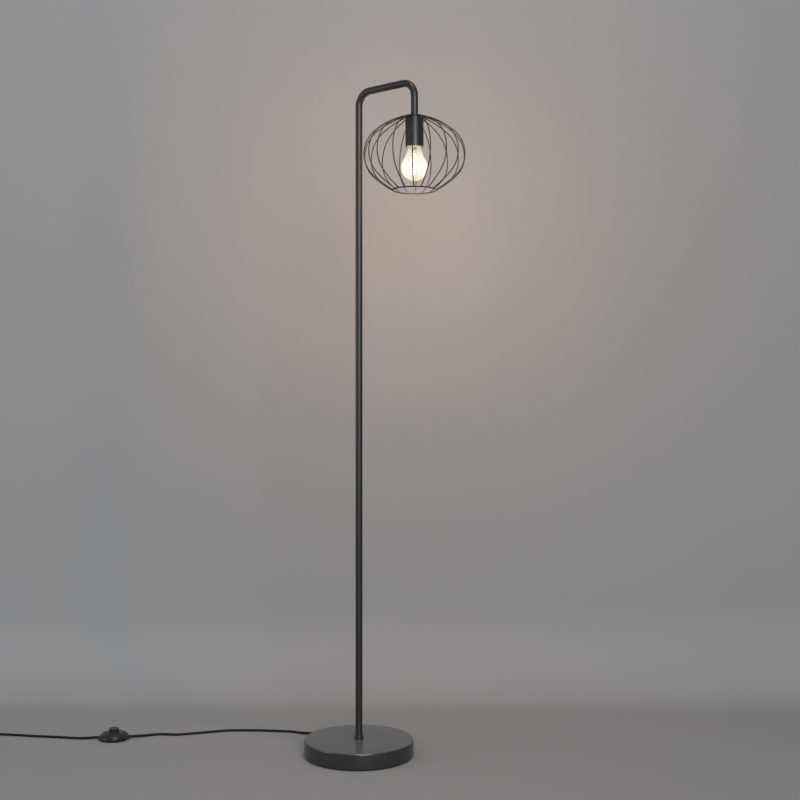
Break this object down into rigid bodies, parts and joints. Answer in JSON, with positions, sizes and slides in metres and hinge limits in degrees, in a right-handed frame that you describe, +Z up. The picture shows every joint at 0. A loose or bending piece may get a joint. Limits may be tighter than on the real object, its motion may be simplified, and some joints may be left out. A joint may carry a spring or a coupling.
{
  "type": "floor lamp",
  "caption": "Slim floor lamp: a bent tube on a round foot carries a wire cage shade with a bare screw-in bulb, a cord with a foot switch and a flat plug.",
  "frame": {"origin": "centre of the foot's underside, on the floor", "axes": "+Z up, +X along the arm from the pole to the lamp, +Y to the left seen along +X"},
  "size_m": [1.1037, 0.7512, 1.52],
  "materials": {
    "black_coat": "matte fine-textured powder coat",
    "cement": "cast",
    "pad_rubber": "foam pad",
    "zinc_steel": "zinc plated",
    "cord_black": "satin sheath",
    "relief_rubber": "satin",
    "holder_plastic": "moulded",
    "contact_brass": "plain",
    "bulb_glass": "clear",
    "stem_glass": "clear",
    "bulb_metal": "rolled",
    "bulb_insulator": "glossy",
    "filament": "coated",
    "switch_plastic": "semi-gloss",
    "block_plastic": "moulded",
    "plug_plastic": "moulded",
    "pin_metal": "nickel plated"
  },
  "bodies": {
    "lamp": {"base_shell": "black_coat", "pole_collar": "black_coat", "pole_lower": "black_coat", "pole_upper": "black_coat", "cage_disc": "black_coat", "cage_ring": "black_coat", "cage_ribs_1": "black_coat", "cage_ribs_2": "black_coat", "cage_ribs_3": "black_coat", "cage_ribs_4": "black_coat", "cage_ribs_5": "black_coat", "cage_ribs_6": "black_coat", "lampholder_cup": "black_coat", "base_weight": "cement", "foot_pad": "pad_rubber", "base_washer": "zinc_steel", "base_nut": "zinc_steel", "base_pipe": "zinc_steel", "pole_foot_insert": "zinc_steel", "pole_joint": "zinc_steel", "arm_insert": "zinc_steel", "lamp_pipe": "zinc_steel", "cup_nut": "zinc_steel", "switch_screws": "zinc_steel", "switch_spring": "zinc_steel", "inner_cable": "cord_black", "cord_base_run": "cord_black", "cord_switch_run": "cord_black", "cord_coil": "cord_black", "cord_tail": "cord_black", "cord_relief": "relief_rubber", "lampholder_cap": "holder_plastic", "lampholder_body": "holder_plastic", "thread_shell": "contact_brass", "centre_contact": "contact_brass", "terminal_screws": "contact_brass", "switch_base": "switch_plastic", "switch_cover": "switch_plastic", "switch_block": "block_plastic", "plug_body": "plug_plastic", "plug_pins": "pin_metal"},
    "bulb": {"bulb_glass": "bulb_glass", "bulb_cap": "bulb_metal", "bulb_insulator": "bulb_insulator", "bulb_contact": "bulb_metal", "bulb_stem": "stem_glass", "bulb_filaments": "filament"},
    "button": {"switch_button": "switch_plastic"}
  },
  "joints": [
    {"name": "bulb_removal", "type": "slide", "parent": "lamp", "child": "bulb", "axis": [0, 0, -1], "range_m": [0, 0.14]},
    {"name": "button_press", "type": "slide", "parent": "lamp", "child": "button", "axis": [0, 0, -1], "range_m": [0, 0.0035], "stiffness_N_per_m": 1500, "springref_m": -0.004, "deforming": ["switch_spring"]}
  ]
}
